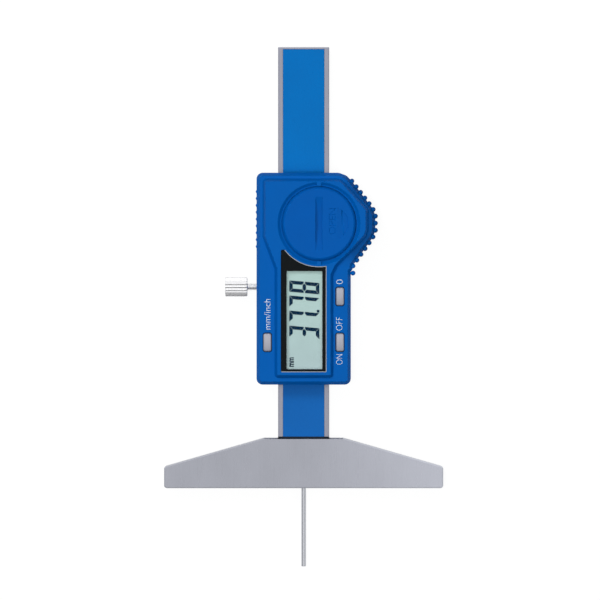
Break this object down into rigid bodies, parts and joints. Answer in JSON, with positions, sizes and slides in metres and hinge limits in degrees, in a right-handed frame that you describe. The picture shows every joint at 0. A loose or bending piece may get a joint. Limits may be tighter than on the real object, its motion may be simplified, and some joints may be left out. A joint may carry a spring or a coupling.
{
  "type": "digital depth gauge",
  "caption": "Digital depth gauge lying on its back: steel base and beam, blue display unit that slides with a thin depth rod, knurled lock screw, turning battery cover.",
  "frame": {"origin": "centre of the base's measuring face, halfway through the base's thickness", "axes": "+Y up the beam, away from the measured surface; +Z out of the display; +X to the thumb grip's side"},
  "size_m": [0.0872, 0.1626, 0.0149],
  "materials": {
    "ground_steel": "finely ground across the face",
    "beam_steel": "satin, ground along the beam",
    "frame_metal": "satin",
    "film_blue": "smooth printed film",
    "grid_copper": "glass fibre with fine copper bars",
    "rod_steel": "polished",
    "screw_steel": "satin",
    "knob_chrome": "bright, knurled",
    "brass": "satin",
    "housing_blue": "satin moulded plastic",
    "bezel_black": "gloss",
    "lens_clear": "clear",
    "lcd_grey": "satin display film",
    "lcd_ink": "dark segments",
    "button_grey": "satin",
    "board_green": "solder mask",
    "chip_black": "matt",
    "rubber_grey": "matt",
    "rubber_pink": "matt",
    "cell_steel": "bright",
    "contact_gold": "plated"
  },
  "bodies": {
    "base": {"measuring_base": "ground_steel", "beam": "beam_steel", "scale_grid": "grid_copper", "scale_film": "film_blue", "beam_screws": "screw_steel", "stop_screw": "screw_steel"},
    "slider": {"slider_frame": "frame_metal", "gib_strip": "brass", "gib_screws": "screw_steel", "depth_rod": "rod_steel", "rod_holder": "brass", "rod_screw": "screw_steel", "display_housing": "housing_blue", "housing_screws": "screw_steel", "window_frame": "bezel_black", "window_lens": "lens_clear", "lcd_panel": "lcd_grey", "lcd_digits": "lcd_ink", "lcd_connectors": "rubber_pink", "circuit_board": "board_green", "controller_chip": "chip_black", "button_pads": "rubber_grey", "coin_cell": "cell_steel", "battery_spring": "contact_gold", "battery_clip": "contact_gold", "cover_seal": "rubber_grey"},
    "battery_cover": {"battery_cover": "housing_blue"},
    "button_unit": {"button_unit": "button_grey"},
    "button_zero": {"button_zero": "button_grey"},
    "button_power": {"button_power": "button_grey"},
    "lock_pad": {"lock_pad": "brass"},
    "lock_screw": {"lock_screw": "knob_chrome"}
  },
  "joints": [
    {"name": "slider_slide", "type": "slide", "parent": "base", "child": "slider", "axis": [0, 1, 0], "range_m": [-0.0164, 0.0248]},
    {"name": "cover_turn", "type": "hinge", "parent": "slider", "child": "battery_cover", "pos_m": [0.00478, 0.0826, 0.0075], "axis": [0, 0, 1], "range_deg": [0, 45]},
    {"name": "unit_press", "type": "slide", "parent": "slider", "child": "button_unit", "axis": [0, 0, -1], "range_m": [0, 0.0003], "stiffness_N_per_m": 500, "springref_m": -0.0003},
    {"name": "zero_press", "type": "slide", "parent": "slider", "child": "button_zero", "axis": [0, 0, -1], "range_m": [0, 0.0003], "stiffness_N_per_m": 500, "springref_m": -0.0003},
    {"name": "power_press", "type": "slide", "parent": "slider", "child": "button_power", "axis": [0, 0, -1], "range_m": [0, 0.0003], "stiffness_N_per_m": 500, "springref_m": -0.0003},
    {"name": "pad_slide", "type": "slide", "parent": "slider", "child": "lock_pad", "axis": [-1, 0, 0], "range_m": [0, 0.0004]},
    {"name": "screw_turn", "type": "hinge", "parent": "lock_pad", "child": "lock_screw", "pos_m": [-0.0147, 0.0629, -0.0004], "axis": [-1, 0, 0], "range_deg": [0, 360]}
  ],
  "couplings": [
    {"joint": "screw_turn", "follows": "pad_slide", "rad_per_m": 15708}
  ]
}
